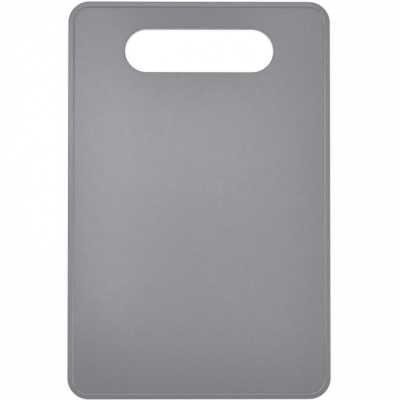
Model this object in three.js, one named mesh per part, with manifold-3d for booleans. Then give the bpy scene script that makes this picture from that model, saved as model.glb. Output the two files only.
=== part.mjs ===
// Plastic cutting board: a rigid plate with a hand slot, gripped all round by a soft rim.
// The rim is moulded over a thin tongue on the plate's edge and pegged through holes in it.
// Millimetres. The board lies flat on Z = 0, with its slot towards +Y and its middle on the Z axis.

import * as THREE from "three";
import { mergeGeometries, mergeVertices } from "three/addons/utils/BufferGeometryUtils.js";
import Module from "manifold-3d";

const wasm = await Module();
wasm.setup();

// The whole board, over the rim
const BOARD_WIDTH = 198;
const BOARD_LENGTH = 300;
const CORNER_RADIUS = 16;

// The rigid plate
const PLATE_THICKNESS = 7.2;
const TONGUE_THICKNESS = 2.4;
const TONGUE_REACH = 3;

// The hand slot, with round ends
const SLOT_LENGTH = 112.6;
const SLOT_WIDTH = 33.2;
const SLOT_FROM_END = 20.3;
const SLOT_EDGE_RADIUS = 0.8;

// The soft rim
const RIM_OUTER_WALL = 1.4;
const RIM_RISE = 0.4;
const RIM_SLOPE_RUN = 1.1;
const RIM_EDGE_RADIUS = 0.9;

// The pegs of the rim, in the lock holes of the tongue
const PEG_DIAMETER = 1.2;
const PEG_PITCH = 20;

// The clear line that is left between plate and rim
const SEAM_GAP = 0.3;

// The least flat that a rounded edge leaves in the middle of its wall
const EDGE_FLAT = 0.5;

// How finely round stretches are drawn
const CORNER_STEPS = 12;
const SLOT_END_STEPS = 24;
const EDGE_STEPS = 5;
const PEG_SIDES = 8;

// How far a cutting solid runs past what it cuts
const CUT_PAST = 1;

const PLATE_COLOUR = 0x908e96;
const RIM_COLOUR = 0x939297;

const rimWidth = RIM_OUTER_WALL + SEAM_GAP + TONGUE_REACH + SEAM_GAP;
const boardThickness = PLATE_THICKNESS + 2 * RIM_RISE;
const middleHeight = boardThickness / 2;
const tongueInset = rimWidth - TONGUE_REACH;
const pegInset = rimWidth - TONGUE_REACH / 2;
const slotEdgeRadius = Math.min(SLOT_EDGE_RADIUS, (PLATE_THICKNESS - EDGE_FLAT) / 2);
const rimEdgeRadius = Math.min(RIM_EDGE_RADIUS, (boardThickness - EDGE_FLAT) / 2);

/** The board's outline, drawn in by an inset all round: a rectangle with round corners. */
function boardOutline(inset) {
  const radius = CORNER_RADIUS - inset;
  const x = BOARD_WIDTH / 2 - CORNER_RADIUS;
  const y = BOARD_LENGTH / 2 - CORNER_RADIUS;
  const outline = new THREE.Shape();
  outline.absarc(x, y, radius, 0, Math.PI / 2);
  outline.absarc(-x, y, radius, Math.PI / 2, Math.PI);
  outline.absarc(-x, -y, radius, Math.PI, 1.5 * Math.PI);
  outline.absarc(x, -y, radius, 1.5 * Math.PI, 2 * Math.PI);
  outline.closePath();
  return outline;
}

/** The hand slot's outline: two half circles joined by straight sides. */
function slotOutline() {
  const radius = SLOT_WIDTH / 2;
  const x = SLOT_LENGTH / 2 - radius;
  const y = BOARD_LENGTH / 2 - SLOT_FROM_END - radius;
  const outline = new THREE.Path();
  outline.absarc(x, y, radius, -Math.PI / 2, Math.PI / 2);
  outline.absarc(-x, y, radius, Math.PI / 2, 1.5 * Math.PI);
  outline.closePath();
  return outline;
}

/** A closed solid that can be joined and cut, from a geometry. */
function solidFrom(geometry) {
  const bare = geometry.clone();
  bare.deleteAttribute("normal");
  bare.deleteAttribute("uv");
  const merged = mergeVertices(bare);
  const vertProperties = new Float32Array(merged.attributes.position.array);
  const triVerts = new Uint32Array(merged.index.array);
  return new wasm.Manifold(new wasm.Mesh({ numProp: 3, vertProperties, triVerts }));
}

/** The geometry of a finished solid. */
function geometryFrom(solid) {
  const { vertProperties, triVerts } = solid.getMesh();
  const geometry = new THREE.BufferGeometry();
  geometry.setAttribute("position", new THREE.BufferAttribute(new Float32Array(vertProperties), 3));
  geometry.setIndex(new THREE.BufferAttribute(new Uint32Array(triVerts), 1));
  geometry.computeVertexNormals();
  return geometry;
}

/** A slab of an outline, square at its edges, between two heights. */
function slab(outline, low, high) {
  const geometry = new THREE.ExtrudeGeometry(outline, {
    depth: high - low,
    bevelEnabled: false,
    curveSegments: CORNER_STEPS / 2,
  });
  geometry.translate(0, 0, low);
  return solidFrom(geometry);
}

/** A slab whose top and bottom edges are drawn in by a round (or, in one step, a slope). */
function edgedSlab(outline, low, high, edge) {
  const geometry = new THREE.ExtrudeGeometry(outline, {
    depth: high - low - 2 * edge.height,
    bevelThickness: edge.height,
    bevelSize: edge.run,
    bevelOffset: -edge.run,
    bevelSegments: edge.steps,
    curveSegments: edge.arcSteps / 2,
  });
  geometry.translate(0, 0, low + edge.height);
  return solidFrom(geometry);
}

/** Places all round the tongue, an even number from the middle of one side, so both halves match. */
function pegPlaces() {
  const route = boardOutline(pegInset);
  const length = route.getLength();
  const count = 2 * Math.round(length / PEG_PITCH / 2);
  const halfSide = BOARD_LENGTH / 2 - CORNER_RADIUS;
  const start = 1 - halfSide / length;
  return Array.from({ length: count }, (_, i) => route.getPoint((start + i / count) % 1));
}

/** Upright posts at the peg places. */
function postsAlongTongue(diameter, low, high) {
  const posts = pegPlaces().map((place) => {
    const post = new THREE.CylinderGeometry(diameter / 2, diameter / 2, high - low, PEG_SIDES);
    post.rotateX(Math.PI / 2);
    post.translate(place.x, place.y, (low + high) / 2);
    return post;
  });
  return solidFrom(mergeGeometries(posts));
}

/** The rigid plate: slot with rounded edges, and a pierced tongue all round. */
function cuttingPlate() {
  const low = RIM_RISE;
  const high = boardThickness - RIM_RISE;
  const blankOutline = boardOutline(rimWidth - slotEdgeRadius - CUT_PAST);
  blankOutline.holes.push(slotOutline());
  const slotEdge = {
    height: slotEdgeRadius,
    run: slotEdgeRadius,
    steps: EDGE_STEPS,
    arcSteps: SLOT_END_STEPS,
  };
  const slottedBlank = edgedSlab(blankOutline, low, high, slotEdge);
  const face = slab(boardOutline(rimWidth), low - CUT_PAST, high + CUT_PAST);

  const tongueLow = middleHeight - TONGUE_THICKNESS / 2;
  const tongueHigh = middleHeight + TONGUE_THICKNESS / 2;
  const tongueOutline = boardOutline(tongueInset);
  tongueOutline.holes.push(boardOutline(rimWidth + CUT_PAST));
  const tongue = slab(tongueOutline, tongueLow, tongueHigh);
  const lockHoles = postsAlongTongue(
    PEG_DIAMETER + 2 * SEAM_GAP,
    tongueLow - CUT_PAST,
    tongueHigh + CUT_PAST,
  );

  return slottedBlank.intersect(face).add(tongue).subtract(lockHoles);
}

/** The soft rim: a ring with a groove for the tongue, and pegs that cross the groove. */
function gripRim() {
  const outerEdge = {
    height: rimEdgeRadius,
    run: rimEdgeRadius,
    steps: EDGE_STEPS,
    arcSteps: CORNER_STEPS,
  };
  const blank = edgedSlab(boardOutline(0), 0, boardThickness, outerEdge);
  const seatInset = rimWidth - SEAM_GAP;
  const seat = slab(boardOutline(seatInset), -CUT_PAST, boardThickness + CUT_PAST);

  const slope = { height: RIM_RISE, run: RIM_SLOPE_RUN, steps: 1, arcSteps: CORNER_STEPS };
  const mouthDepth = 2 * RIM_RISE + CUT_PAST;
  const mouthOutline = boardOutline(seatInset - RIM_SLOPE_RUN);
  const upperLow = boardThickness - RIM_RISE;
  const upperMouth = edgedSlab(mouthOutline, upperLow, upperLow + mouthDepth, slope);
  const lowerMouth = edgedSlab(mouthOutline, RIM_RISE - mouthDepth, RIM_RISE, slope);

  const grooveLow = middleHeight - TONGUE_THICKNESS / 2 - SEAM_GAP;
  const grooveHigh = middleHeight + TONGUE_THICKNESS / 2 + SEAM_GAP;
  const pegs = postsAlongTongue(PEG_DIAMETER, grooveLow - CUT_PAST, grooveHigh + CUT_PAST);
  const groove = slab(boardOutline(tongueInset - SEAM_GAP), grooveLow, grooveHigh).subtract(pegs);

  return blank.subtract(seat).subtract(upperMouth).subtract(lowerMouth).subtract(groove);
}

/** A named piece of the board, with its surface. */
function piece(name, solid, surface) {
  const mesh = new THREE.Mesh(geometryFrom(solid), new THREE.MeshStandardMaterial(surface));
  mesh.name = name;
  return mesh;
}

const board = new THREE.Group();
board.name = "cutting_board";
board.add(piece("cutting_plate", cuttingPlate(), { color: PLATE_COLOUR, roughness: 0.5, metalness: 0 }));
board.add(piece("grip_rim", gripRim(), { color: RIM_COLOUR, roughness: 0.65, metalness: 0 }));

export default board;
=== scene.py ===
"""Plastic cutting board, dressed for a studio picture.

A rigid polypropylene plate with a fine matt grain and a hand slot is gripped all round by a soft rim.
Metres, in the frame of the loaded model: the board lies flat on Z = 0, with its slot towards +Y.
"""

import logging
import math
from dataclasses import dataclass
from enum import Enum
from typing import Any, Callable

import bmesh
import bpy
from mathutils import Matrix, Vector


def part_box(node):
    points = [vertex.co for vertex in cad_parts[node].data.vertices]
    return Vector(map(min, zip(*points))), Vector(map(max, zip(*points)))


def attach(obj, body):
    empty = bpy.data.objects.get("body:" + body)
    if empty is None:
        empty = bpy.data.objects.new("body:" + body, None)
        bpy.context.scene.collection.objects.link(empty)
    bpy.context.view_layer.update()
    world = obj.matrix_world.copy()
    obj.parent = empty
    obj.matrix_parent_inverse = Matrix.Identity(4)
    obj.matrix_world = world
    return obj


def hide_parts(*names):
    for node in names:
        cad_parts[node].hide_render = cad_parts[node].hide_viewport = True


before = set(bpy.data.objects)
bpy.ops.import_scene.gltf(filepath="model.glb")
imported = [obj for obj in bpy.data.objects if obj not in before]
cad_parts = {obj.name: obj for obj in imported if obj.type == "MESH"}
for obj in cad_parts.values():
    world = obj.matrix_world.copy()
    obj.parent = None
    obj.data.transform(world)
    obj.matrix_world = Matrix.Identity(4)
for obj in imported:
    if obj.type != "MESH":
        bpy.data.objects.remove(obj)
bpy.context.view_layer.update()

LOG = logging.getLogger("cutting_board")

MM = 0.001
BODY = "root"

# Two places that are closer than this are taken to be one
HAIR = 0.01 * MM

# The sharpest turn that is shaded smooth
SMOOTH_ANGLE = math.radians(35)

# The bevel profile that makes a true round
ROUND_PROFILE = 0.5

# The sRGB curve: a straight toe, and past its end a power
TOE_END = 0.04045
TOE_SLOPE = 12.92
CURVE_OFFSET = 0.055
CURVE_POWER = 2.4

# A Mix node's sockets for colours, which come after those for numbers and vectors
MIX_SHARE = 0
MIX_FIRST = 6
MIX_SECOND = 7
MIX_RESULT = 2

WHITE = "#ffffff"
COOL_WHITE = "#f0fff9"

# The height of the lamps that hang straight over the board
BANK_HEIGHT = 0.95

PlaceTest = Callable[[Vector], bool]


class SeenBy(Enum):
    """The rays that see the white studio instead of its plain light."""

    CAMERA = "Is Camera Ray"
    GLOSSY = "Is Glossy Ray"
    TRANSMISSION = "Is Transmission Ray"


class Face(Enum):
    """The two faces of the board, by the way up from its middle."""

    UPPER = 1
    LOWER = -1


class Rounded(Enum):
    """What a round is made on: the corners of a flat outline, or the edges of a solid."""

    CORNERS = "VERTICES"
    EDGES = "EDGES"


def linear(colour: str) -> tuple[float, float, float, float]:
    """Turn an sRGB hex colour to linear light.

    Args:
        colour: Six hex digits after a hash sign.

    Returns:
        Red, green and blue in linear light, and an alpha of 1.
    """
    shares = [int(colour[i : i + 2], 16) / 255 for i in (1, 3, 5)]
    red, green, blue = (
        share / TOE_SLOPE
        if share <= TOE_END
        else ((share + CURVE_OFFSET) / (1 + CURVE_OFFSET)) ** CURVE_POWER
        for share in shares
    )
    return red, green, blue, 1.0


def add_node(
    tree: bpy.types.NodeTree,
    kind: str,
    inputs: dict[int | str, Any],
    **settings: Any,
) -> bpy.types.Node:
    """Add a node to a tree.

    Args:
        tree: The node tree to add to.
        kind: The node's type name.
        inputs: A value, or another node's output socket to link, for each input by name or number.
        **settings: The node's own settings.

    Returns:
        The new node.
    """
    node = tree.nodes.new(kind)
    for name, value in settings.items():
        setattr(node, name, value)
    for key, value in inputs.items():
        if isinstance(value, bpy.types.NodeSocket):
            tree.links.new(value, node.inputs[key])
        else:
            node.inputs[key].default_value = value
    return node


def bare_material(name: str) -> tuple[bpy.types.Material, bpy.types.NodeTree]:
    """Make a material with no nodes in it yet.

    Args:
        name: The material's name.

    Returns:
        The material and its empty node tree.
    """
    material = bpy.data.materials.new(name)
    material.use_nodes = True
    material.node_tree.nodes.clear()
    return material, material.node_tree


def start_plane(name: str, width: float, length: float, height: float) -> bpy.types.Object:
    """Add a flat rectangle round the Z axis, alone selected and in edit mode.

    Args:
        name: The new piece's name.
        width: Its size along X.
        length: Its size along Y.
        height: Its height above the floor.

    Returns:
        The new piece.
    """
    bpy.ops.object.select_all(action="DESELECT")
    bpy.ops.mesh.primitive_plane_add(size=1, location=(0, 0, height))
    piece = bpy.context.object
    piece.name = name
    piece.data.name = name
    piece.scale = (width, length, 1)
    bpy.ops.object.transform_apply(location=True, rotation=True, scale=True)
    bpy.ops.object.mode_set(mode="EDIT")
    return piece


def select_vertices(piece: bpy.types.Object, test: PlaceTest) -> None:
    """Select the vertices of a piece in edit mode whose place passes a test, and no others.

    Args:
        piece: The piece in edit mode.
        test: Says whether a place is wanted.
    """
    bpy.ops.mesh.select_mode(type="VERT")
    bpy.ops.mesh.select_all(action="DESELECT")
    mesh = bmesh.from_edit_mesh(piece.data)
    for vertex in mesh.verts:
        vertex.select_set(test(vertex.co))
    mesh.select_flush(True)
    bmesh.update_edit_mesh(piece.data)


def select_level_edges(piece: bpy.types.Object, test: PlaceTest) -> None:
    """Select the level edges of a piece in edit mode whose two ends both pass a test of place.

    Args:
        piece: The piece in edit mode.
        test: Says whether a place is wanted.
    """
    bpy.ops.mesh.select_mode(type="EDGE")
    bpy.ops.mesh.select_all(action="DESELECT")
    mesh = bmesh.from_edit_mesh(piece.data)
    for edge in mesh.edges:
        first, second = (vertex.co for vertex in edge.verts)
        edge.select_set(abs(first.z - second.z) < HAIR and test(first) and test(second))
    bmesh.update_edit_mesh(piece.data)


def select_faces(piece: bpy.types.Object, test: PlaceTest) -> None:
    """Select the faces of a piece in edit mode whose middle passes a test, and no others.

    Args:
        piece: The piece in edit mode.
        test: Says whether a face with its middle at a place is wanted.
    """
    bpy.ops.mesh.select_mode(type="FACE")
    bpy.ops.mesh.select_all(action="DESELECT")
    mesh = bmesh.from_edit_mesh(piece.data)
    for face in mesh.faces:
        face.select_set(test(face.calc_center_median()))
    bmesh.update_edit_mesh(piece.data)


def raise_through(heights: tuple[float, ...]) -> None:
    """Raise the whole flat piece in edit mode into a slab, with a line round its walls at each height.

    Args:
        heights: The heights from the piece's own up to the slab's top.
    """
    bpy.ops.mesh.select_all(action="SELECT")
    for low, high in zip(heights, heights[1:]):
        bpy.ops.mesh.extrude_region_move(TRANSFORM_OT_translate={"value": (0, 0, high - low)})
    bpy.ops.mesh.select_all(action="SELECT")
    bpy.ops.mesh.normals_make_consistent(inside=False)


def push_out(distance: float) -> None:
    """Extrude the selected faces of the piece in edit mode along their normals.

    Args:
        distance: How far out of the material they move, or below zero, into it.
    """
    bpy.ops.mesh.extrude_region_shrink_fatten(
        TRANSFORM_OT_shrink_fatten={"value": distance, "use_even_offset": True}
    )


def round_over(what: Rounded, radius: float, steps: int) -> None:
    """Round what is selected of the piece in edit mode.

    Args:
        what: Whether the selected corners or the selected edges are rounded.
        radius: How far the round reaches to both sides.
        steps: How many flats make up the round.
    """
    bpy.ops.mesh.bevel(offset=radius, segments=steps, affect=what.value, profile=ROUND_PROFILE)


def finish_piece(piece: bpy.types.Object) -> None:
    """Leave edit mode with rounds shaded smooth, flats kept flat and corners crisp.

    Args:
        piece: The piece in edit mode.
    """
    bpy.ops.object.mode_set(mode="OBJECT")
    bpy.ops.object.select_all(action="DESELECT")
    piece.select_set(True)
    bpy.context.view_layer.objects.active = piece
    bpy.ops.object.shade_smooth_by_angle(angle=SMOOTH_ANGLE)
    weighted = piece.modifiers.new("flat_faces", "WEIGHTED_NORMAL")
    weighted.keep_sharp = True
    bpy.ops.object.modifier_apply(modifier=weighted.name)


@dataclass(frozen=True)
class MouldedFinish:
    """A plastic moulded in a grained tool, its peaks paler and smoother than its valleys."""

    name: str
    peak_colour: str
    valley_colour: str
    peak_roughness: float
    valley_roughness: float
    ior: float
    grain: float
    relief: float

    def height(self, tree: bpy.types.NodeTree) -> bpy.types.NodeSocket:
        """Draw the grain.

        Args:
            tree: The material's node tree.

        Returns:
            The height of the grain, from 0 in the valleys to 1 on the peaks.
        """
        raise NotImplementedError

    def material(self) -> bpy.types.Material:
        """Make the finish.

        Returns:
            The finish as a material.
        """
        material, tree = bare_material(self.name)
        height = self.height(tree)
        colour = add_node(
            tree,
            "ShaderNodeMix",
            {
                MIX_SHARE: height,
                MIX_FIRST: linear(self.valley_colour),
                MIX_SECOND: linear(self.peak_colour),
            },
            data_type="RGBA",
        ).outputs[MIX_RESULT]
        roughness = add_node(
            tree,
            "ShaderNodeMapRange",
            {"Value": height, "To Min": self.valley_roughness, "To Max": self.peak_roughness},
        ).outputs["Result"]
        bump = add_node(tree, "ShaderNodeBump", {"Height": height, "Distance": self.relief})
        shader = add_node(
            tree,
            "ShaderNodeBsdfPrincipled",
            {
                "Base Color": colour,
                "Roughness": roughness,
                "Normal": bump.outputs["Normal"],
                "IOR": self.ior,
            },
        )
        add_node(tree, "ShaderNodeOutputMaterial", {"Surface": shader.outputs["BSDF"]})
        return material


@dataclass(frozen=True)
class SatinPolypropylene(MouldedFinish):
    """Polypropylene, injection moulded in a tool that was rubbed down both ways to a fine matt grain.

    It gives the eye a satin grey face, with wide soft highlights and a trace of crossing streaks.
    """

    name: str = "polypropylene_moulded_fine_grain"
    peak_colour: str = "#8e8a92"
    valley_colour: str = "#87848c"
    peak_roughness: float = 0.21
    valley_roughness: float = 0.236
    ior: float = 1.49
    # The real streaks are near 0.3 mm wide. They are drawn about two pixels wide, so that they show.
    grain: float = 1.7 * MM
    relief: float = 0.0045 * MM
    streak_length: float = 8 * MM
    contrast: float = 0.36

    def height(self, tree: bpy.types.NodeTree) -> bpy.types.NodeSocket:
        """Draw fine streaks that run both ways over the face.

        Args:
            tree: The material's node tree.

        Returns:
            The height of the streaks, from 0 in the valleys to 1 on the peaks.
        """
        place = add_node(tree, "ShaderNodeTexCoord", {}).outputs["Object"]
        fine = 1 / self.grain
        long = 1 / self.streak_length
        lays = []
        for stretch in ((fine, long, fine), (long, fine, fine)):
            lay = add_node(tree, "ShaderNodeVectorMath", {0: place, 1: stretch}, operation="MULTIPLY")
            noise = add_node(tree, "ShaderNodeTexNoise", {"Vector": lay.outputs[0], "Scale": 1.0})
            lays.append(noise.outputs["Fac"])
        both = add_node(tree, "ShaderNodeMath", {0: lays[0], 1: lays[1]}, operation="ADD").outputs[0]
        return add_node(
            tree,
            "ShaderNodeMapRange",
            {"Value": both, "From Min": 1 - self.contrast, "From Max": 1 + self.contrast},
        ).outputs["Result"]


@dataclass(frozen=True)
class MattElastomer(MouldedFinish):
    """Thermoplastic elastomer, moulded onto the plate in a tool with a leathery grain.

    It gives the eye a soft matt grey, a shade drier and more neutral than the plate.
    """

    name: str = "elastomer_moulded_matt"
    peak_colour: str = "#8f8d92"
    valley_colour: str = "#88858a"
    peak_roughness: float = 0.22
    valley_roughness: float = 0.26
    ior: float = 1.5
    # The real pebbles are near 0.3 mm wide. They are drawn about a pixel wide, so that they show.
    grain: float = 0.8 * MM
    relief: float = 0.012 * MM
    blend: float = 0.6

    def height(self, tree: bpy.types.NodeTree) -> bpy.types.NodeSocket:
        """Draw pebbles that run into each other.

        Args:
            tree: The material's node tree.

        Returns:
            The height of the pebbles, from 0 in the valleys to 1 on the peaks.
        """
        place = add_node(tree, "ShaderNodeTexCoord", {}).outputs["Object"]
        gap = add_node(
            tree,
            "ShaderNodeTexVoronoi",
            {"Vector": place, "Scale": 1 / self.grain, "Smoothness": self.blend},
            feature="SMOOTH_F1",
        ).outputs["Distance"]
        return add_node(
            tree, "ShaderNodeMapRange", {"Value": gap, "To Min": 1.0, "To Max": 0.0}
        ).outputs["Result"]


@dataclass(frozen=True)
class StudioWhite:
    """Matt white paper, lit from behind so that it is white to the eye and still takes a soft shadow."""

    name: str = "paper_matt_white"
    colour: str = "#f7f7f7"
    glow: float = 1.06
    # The paper's share of what is seen round the board. It fades to nothing between two distances.
    shadow_share: float = 0.14
    shadow_reach: float = 0.25
    white_from: float = 0.6

    def material(self) -> bpy.types.Material:
        """Make the finish.

        Returns:
            The finish as a material.
        """
        material, tree = bare_material(self.name)
        paper = add_node(tree, "ShaderNodeBsdfDiffuse", {"Color": linear(self.colour)}).outputs[0]
        glow = add_node(tree, "ShaderNodeEmission", {"Strength": self.glow}).outputs[0]
        place = add_node(tree, "ShaderNodeTexCoord", {}).outputs["Object"]
        reach = add_node(tree, "ShaderNodeVectorMath", {0: place}, operation="LENGTH").outputs["Value"]
        white = add_node(
            tree,
            "ShaderNodeMapRange",
            {
                "Value": reach,
                "From Min": self.shadow_reach,
                "From Max": self.white_from,
                "To Min": 1 - self.shadow_share,
                "To Max": 1.0,
            },
            interpolation_type="SMOOTHSTEP",
        ).outputs["Result"]
        share = add_node(
            tree, "ShaderNodeMath", {0: white, 1: seen_white(tree)}, operation="MULTIPLY"
        ).outputs[0]
        surface = add_node(tree, "ShaderNodeMixShader", {0: share, 1: paper, 2: glow}).outputs[0]
        add_node(tree, "ShaderNodeOutputMaterial", {"Surface": surface})
        return material


def seen_white(tree: bpy.types.NodeTree) -> bpy.types.NodeSocket:
    """Tell the rays that see the white studio from those that carry its light.

    Args:
        tree: The node tree of the floor or the world.

    Returns:
        1 for a camera, glossy or transmission ray, and 0 for the rest.
    """
    rays = add_node(tree, "ShaderNodeLightPath", {}).outputs
    seen = rays[SeenBy.CAMERA.value]
    for other in (SeenBy.GLOSSY, SeenBy.TRANSMISSION):
        either = {0: seen, 1: rays[other.value]}
        seen = add_node(tree, "ShaderNodeMath", either, operation="MAXIMUM").outputs[0]
    return seen


@dataclass(frozen=True)
class BoardOutline:
    """The board's outline over its rim, and the heights of its faces."""

    width: float
    length: float
    thickness: float
    face_low: float
    face_high: float
    corner_radius: float = 16 * MM
    corner_steps: int = 24

    @classmethod
    def from_frame(cls) -> "BoardOutline":
        """Read the outline off the loaded model.

        Returns:
            The outline of the loaded rim, with the faces of the loaded plate.
        """
        rim_low, rim_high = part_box("grip_rim")
        plate_low, plate_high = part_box("cutting_plate")
        size = rim_high - rim_low
        return cls(size.x, size.y, size.z, plate_low.z, plate_high.z)

    @property
    def middle(self) -> float:
        """The height of the board's middle."""
        return self.thickness / 2

    def top_of(self, face: Face) -> float:
        """The height of the board's very top or bottom."""
        return self.middle + face.value * self.thickness / 2

    def depth(self, place: Vector) -> float:
        """Give how far a place is inside the outline.

        Args:
            place: A place on the board.

        Returns:
            The shortest way out to the outline, seen from above.
        """
        x = abs(place.x) - (self.width / 2 - self.corner_radius)
        y = abs(place.y) - (self.length / 2 - self.corner_radius)
        if x > 0 and y > 0:
            return self.corner_radius - math.hypot(x, y)
        return self.corner_radius - max(x, y)

    def start(self, name: str, inset: float, height: float) -> bpy.types.Object:
        """Start a piece as the outline, a flat face with round corners.

        Args:
            name: The new piece's name.
            inset: How far the outline is drawn in all round.
            height: The height of the face.

        Returns:
            The new piece, in edit mode.
        """
        piece = start_plane(name, self.width - 2 * inset, self.length - 2 * inset, height)
        bpy.ops.mesh.select_all(action="SELECT")
        round_over(Rounded.CORNERS, self.corner_radius - inset, self.corner_steps)
        return piece


@dataclass(frozen=True)
class TongueJoint:
    """The tongue all round the plate's edge, and the groove in the rim that it sits in."""

    tip_inset: float = 2 * MM
    thickness: float = 2.4 * MM
    clearance: float = 0.3 * MM

    def heights(self, middle: float, clearance: float = 0.0) -> tuple[float, float]:
        """Give the joint's lowest and highest place.

        Args:
            middle: The height of the board's middle.
            clearance: The room that is left on both sides.

        Returns:
            The lower and the upper height.
        """
        half = self.thickness / 2 + clearance
        return middle - half, middle + half


@dataclass
class GrainedPlate:
    """The rigid plate: two grained faces, a hand slot with rounded edges, and a tongue all round."""

    outline: BoardOutline
    tongue: TongueJoint
    inset: float
    finish: SatinPolypropylene
    name: str = "grained_plate"
    slot_length: float = 112.6 * MM
    slot_width: float = 33.2 * MM
    slot_from_end: float = 20.3 * MM
    slot_edge_radius: float = 0.8 * MM
    slot_end_steps: int = 24
    slot_edge_steps: int = 6
    rim_edge_radius: float = 0.3 * MM
    rim_edge_steps: int = 3
    level_angle: float = math.radians(0.5)

    @property
    def slot_y(self) -> float:
        """The slot's middle, along the board."""
        return self.outline.length / 2 - self.slot_from_end - self.slot_width / 2

    def on_face(self, place: Vector) -> bool:
        """Say whether a place is at the height of either face."""
        return min(abs(place.z - self.outline.face_low), abs(place.z - self.outline.face_high)) < HAIR

    def in_slot_edge(self, place: Vector) -> bool:
        """Say whether a place is on the sharp edge of the slot, on either face.

        Args:
            place: A place on the plate.

        Returns:
            True on the slot's edge.
        """
        in_x = abs(place.x) < self.slot_length / 2 + HAIR
        in_y = abs(place.y - self.slot_y) < self.slot_width / 2 + HAIR
        return self.on_face(place) and in_x and in_y

    def in_rim_edge(self, place: Vector) -> bool:
        """Say whether a place is on the sharp edge next to the rim, on either face."""
        return self.on_face(place) and self.outline.depth(place) < self.inset + HAIR

    def cut_slot(self, height: float) -> None:
        """Cut the slot out of the flat face in edit mode.

        Args:
            height: The height of the face.
        """
        bpy.ops.mesh.select_all(action="DESELECT")
        middle = (0, self.slot_y, height)
        bpy.ops.mesh.primitive_plane_add(size=1, location=middle)
        bpy.ops.transform.resize(value=(self.slot_length, self.slot_width, 1), center_override=middle)
        round_over(Rounded.CORNERS, self.slot_width / 2, self.slot_end_steps)
        bpy.ops.mesh.select_all(action="SELECT")
        bpy.ops.mesh.remove_doubles(threshold=HAIR)
        bpy.ops.mesh.delete(type="ONLY_FACE")
        bpy.ops.mesh.select_all(action="SELECT")
        bpy.ops.mesh.fill(use_beauty=True)
        bpy.ops.mesh.select_all(action="SELECT")
        bpy.ops.mesh.dissolve_limited(angle_limit=self.level_angle)

    def build(self) -> bpy.types.Object:
        """Model the plate.

        Returns:
            The finished mesh, at the origin.
        """
        outline = self.outline
        low, high = self.tongue.heights(outline.middle)

        def in_tongue_wall(place: Vector) -> bool:
            """Say whether a place is in the outer wall, at the tongue's heights."""
            return low < place.z < high and outline.depth(place) < self.inset + self.tongue.clearance

        piece = outline.start(self.name, self.inset, outline.face_low)
        self.cut_slot(outline.face_low)
        raise_through((outline.face_low, low, high, outline.face_high))
        select_faces(piece, in_tongue_wall)
        push_out(self.inset - self.tongue.tip_inset)
        select_level_edges(piece, self.in_slot_edge)
        round_over(Rounded.EDGES, self.slot_edge_radius, self.slot_edge_steps)
        select_level_edges(piece, self.in_rim_edge)
        round_over(Rounded.EDGES, self.rim_edge_radius, self.rim_edge_steps)
        finish_piece(piece)
        return piece

    def dress(self, piece: bpy.types.Object) -> None:
        """Give the plate its finish, and its place on the model.

        Args:
            piece: The plate as it was built.
        """
        piece.data.materials.append(self.finish.material())
        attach(piece, BODY)
        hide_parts("cutting_plate")


@dataclass
class SoftRim:
    """The soft rim: a band that rises to a crest, slopes down to the plate and grips its tongue."""

    outline: BoardOutline
    tongue: TongueJoint
    finish: MattElastomer
    name: str = "soft_rim"
    crest_inset: float = 3.6 * MM
    slope_run: float = 1.1 * MM
    foot_dip: float = 0.06 * MM
    outward_fall: float = 0.2 * MM
    edge_radius: float = 0.9 * MM
    edge_steps: int = 6
    crest_round: float = 0.1 * MM
    crest_steps: int = 2

    @property
    def width(self) -> float:
        """The rim's width over its face, from the outer edge to the plate."""
        return self.crest_inset + self.slope_run

    def at(self, inset: float, height: float) -> PlaceTest:
        """Make a test for places on one line round the rim.

        Args:
            inset: How far the line is inside the outline.
            height: The height of the line.

        Returns:
            A test that passes on that line.
        """

        def on_line(place: Vector) -> bool:
            """Say whether a place is on the line."""
            return abs(self.outline.depth(place) - inset) < HAIR and abs(place.z - height) < HAIR

        return on_line

    def shape_face(self, piece: bpy.types.Object, face: Face) -> None:
        """Give one face its slope and its rounds.

        Args:
            piece: The rim in edit mode, still square.
            face: The face to shape.
        """
        outline = self.outline
        top = outline.top_of(face)
        plate_face = outline.face_high if face is Face.UPPER else outline.face_low
        foot = plate_face - face.value * self.foot_dip
        edge = top - face.value * self.outward_fall
        select_vertices(piece, self.at(self.width, top))
        bpy.ops.transform.translate(value=(0, 0, foot - top))
        select_vertices(piece, self.at(0, top))
        bpy.ops.transform.translate(value=(0, 0, edge - top))
        select_level_edges(piece, self.at(0, edge))
        round_over(Rounded.EDGES, self.edge_radius, self.edge_steps)
        select_level_edges(piece, self.at(self.crest_inset, top))
        round_over(Rounded.EDGES, self.crest_round, self.crest_steps)

    def build(self) -> bpy.types.Object:
        """Model the rim.

        Returns:
            The finished mesh, at the origin.
        """
        outline = self.outline
        low, high = self.tongue.heights(outline.middle, self.tongue.clearance)
        groove_inset = self.tongue.tip_inset - self.tongue.clearance

        def in_groove_wall(place: Vector) -> bool:
            """Say whether a place is in the inner wall, at the groove's heights."""
            return low < place.z < high and outline.depth(place) > self.width - self.tongue.clearance

        piece = outline.start(self.name, 0, 0)
        bpy.ops.mesh.select_all(action="SELECT")
        bpy.ops.mesh.inset(thickness=self.crest_inset)
        bpy.ops.mesh.inset(thickness=self.slope_run)
        bpy.ops.mesh.delete(type="FACE")
        raise_through((0, low, high, outline.thickness))
        select_faces(piece, in_groove_wall)
        push_out(groove_inset - self.width)
        for face in Face:
            self.shape_face(piece, face)
        finish_piece(piece)
        return piece

    def dress(self, piece: bpy.types.Object) -> None:
        """Give the rim its finish, and its place on the model.

        Args:
            piece: The rim as it was built.
        """
        piece.data.materials.append(self.finish.material())
        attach(piece, BODY)
        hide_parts("grip_rim")


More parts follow.
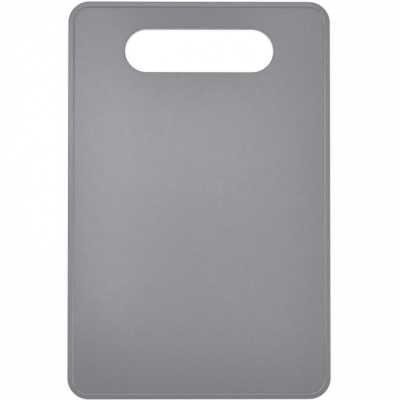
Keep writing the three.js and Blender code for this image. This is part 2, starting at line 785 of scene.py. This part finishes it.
@dataclass(frozen=True)
class SoftLamp:
    """An oblong soft box, aimed at a place near the board, with its power in watts."""

    name: str
    place: tuple[float, float, float]
    aim: tuple[float, float, float]
    width: float
    length: float
    power: float
    colour: str = WHITE

    @classmethod
    def overhead(
        cls,
        name: str,
        middle: tuple[float, float],
        width: float,
        length: float,
        power: float,
        colour: str = WHITE,
    ) -> "SoftLamp":
        """Make a lamp that hangs over the board and looks straight down.

        Args:
            name: The lamp's name.
            middle: The place of its middle, seen from above.
            width: Its size along X.
            length: Its size along Y.
            power: Its power in watts.
            colour: The colour of its light.

        Returns:
            The lamp.
        """
        x, y = middle
        return cls(name, (x, y, BANK_HEIGHT), (x, y, 0), width, length, power, colour)

    def build(self) -> bpy.types.Object:
        """Hang the lamp.

        Returns:
            The lamp's object.
        """
        light = bpy.data.lights.new(self.name, "AREA")
        light.shape = "RECTANGLE"
        light.size = self.width
        light.size_y = self.length
        light.energy = self.power
        light.color = linear(self.colour)[:3]
        lamp = bpy.data.objects.new(self.name, light)
        lamp.location = self.place
        lamp.rotation_euler = (Vector(self.aim) - Vector(self.place)).to_track_quat("-Z", "Y").to_euler()
        lamp.visible_camera = False
        bpy.context.scene.collection.objects.link(lamp)
        return lamp


@dataclass(frozen=True)
class Studio:
    """The white floor, the soft light and the camera above the board."""

    floor_side: float = 12.0
    floor_finish: StudioWhite = StudioWhite()
    plain_light: float = 0.01
    # The lens is assumed, and the place and turn are a fit of the board's corners to the picture
    lens: float = 85.0
    camera_place: tuple[float, float, float] = (-6.3 * MM, -13.7 * MM, 719.4 * MM)
    # Degrees about X, Y and Z, from looking straight down
    camera_turn: tuple[float, float, float] = (1.082, -0.554, 0.008)
    # The powers, and the edges of the boxes that the face mirrors, were fitted to the picture's
    # brightness, then rounded and partly changed
    lamps: tuple[SoftLamp, ...] = (
        # The face mirrors these, as its soft highlights
        SoftLamp.overhead("left_strip", (-0.164, 0.08), 0.035, 0.56, 0.71),
        SoftLamp.overhead("right_strip", (0.163, 0.068), 0.09, 0.695, 0.69, COOL_WHITE),
        SoftLamp.overhead("back_box", (-0.005, 0.131), 0.29, 0.196, 0.75),
        SoftLamp.overhead("front_box", (-0.005, -0.1175), 0.29, 0.301, 0.7),
        # The falling top of the rim mirrors these
        SoftLamp.overhead("left_back_box", (-0.315, 0.2), 0.1, 0.26, 0.52),
        SoftLamp.overhead("left_front_box", (-0.315, -0.115), 0.1, 0.37, 0.22),
        SoftLamp.overhead("right_box", (0.335, 0.02), 0.1, 0.64, 0.43, COOL_WHITE),
        # The slope of the rim mirrors these, as the light line beside the face
        SoftLamp("left_side_box", (-0.525, 0.03, 0.8), (0.1, 0.03, 0), 0.56, 0.12, 1.55),
        SoftLamp("right_side_box", (0.56, -0.03, 0.8), (-0.1, -0.03, 0), 0.56, 0.12, 0.85),
        SoftLamp("right_front_box", (0.54, -0.22, 0.8), (-0.1, -0.22, 0), 0.22, 0.12, 0.4),
        SoftLamp("far_box", (-0.02, 0.445, 0.85), (-0.02, -0.15, 0), 0.5, 0.06, 0.55),
    )

    def build_floor(self) -> None:
        """Lay the floor, just under the board."""
        bpy.ops.object.select_all(action="DESELECT")
        bpy.ops.mesh.primitive_plane_add(size=self.floor_side, location=(0, 0, 0))
        floor = bpy.context.object
        floor.name = "studio_floor"
        floor.data.materials.append(self.floor_finish.material())

    def build_world(self) -> None:
        """Surround the board with white that is seen and mirrored, and that hardly lights it."""
        scene = bpy.context.scene
        scene.world = bpy.data.worlds.new("studio_world")
        scene.world.use_nodes = True
        tree = scene.world.node_tree
        tree.nodes.clear()
        strength = add_node(
            tree,
            "ShaderNodeMapRange",
            {"Value": seen_white(tree), "To Min": self.plain_light, "To Max": 1.0},
        ).outputs["Result"]
        light = add_node(
            tree, "ShaderNodeBackground", {"Color": linear(WHITE), "Strength": strength}
        ).outputs[0]
        add_node(tree, "ShaderNodeOutputWorld", {"Surface": light})

    def build_camera(self) -> None:
        """Hang the camera above the board, almost square to it, as in the picture."""
        camera = bpy.data.cameras.new("photo_camera")
        camera.lens = self.lens
        holder = bpy.data.objects.new("photo_camera", camera)
        holder.location = self.camera_place
        holder.rotation_euler = [math.radians(turn) for turn in self.camera_turn]
        bpy.context.scene.collection.objects.link(holder)
        bpy.context.scene.camera = holder

    def build(self) -> None:
        """Set up the whole studio."""
        self.build_floor()
        self.build_world()
        self.build_camera()
        for lamp in self.lamps:
            lamp.build()
        bpy.context.scene.view_settings.view_transform = "Standard"


def main() -> None:
    """Build the board and its studio."""
    logging.basicConfig(level=logging.INFO, format="%(name)s: %(message)s")
    outline = BoardOutline.from_frame()
    tongue = TongueJoint()
    rim = SoftRim(outline, tongue, MattElastomer())
    plate = GrainedPlate(outline, tongue, rim.width, SatinPolypropylene())
    for part in (rim, plate):
        piece = part.build()
        part.dress(piece)
        LOG.info("%s: %d faces", piece.name, len(piece.data.polygons))
    Studio().build()


if __name__ == "__main__":
    main()
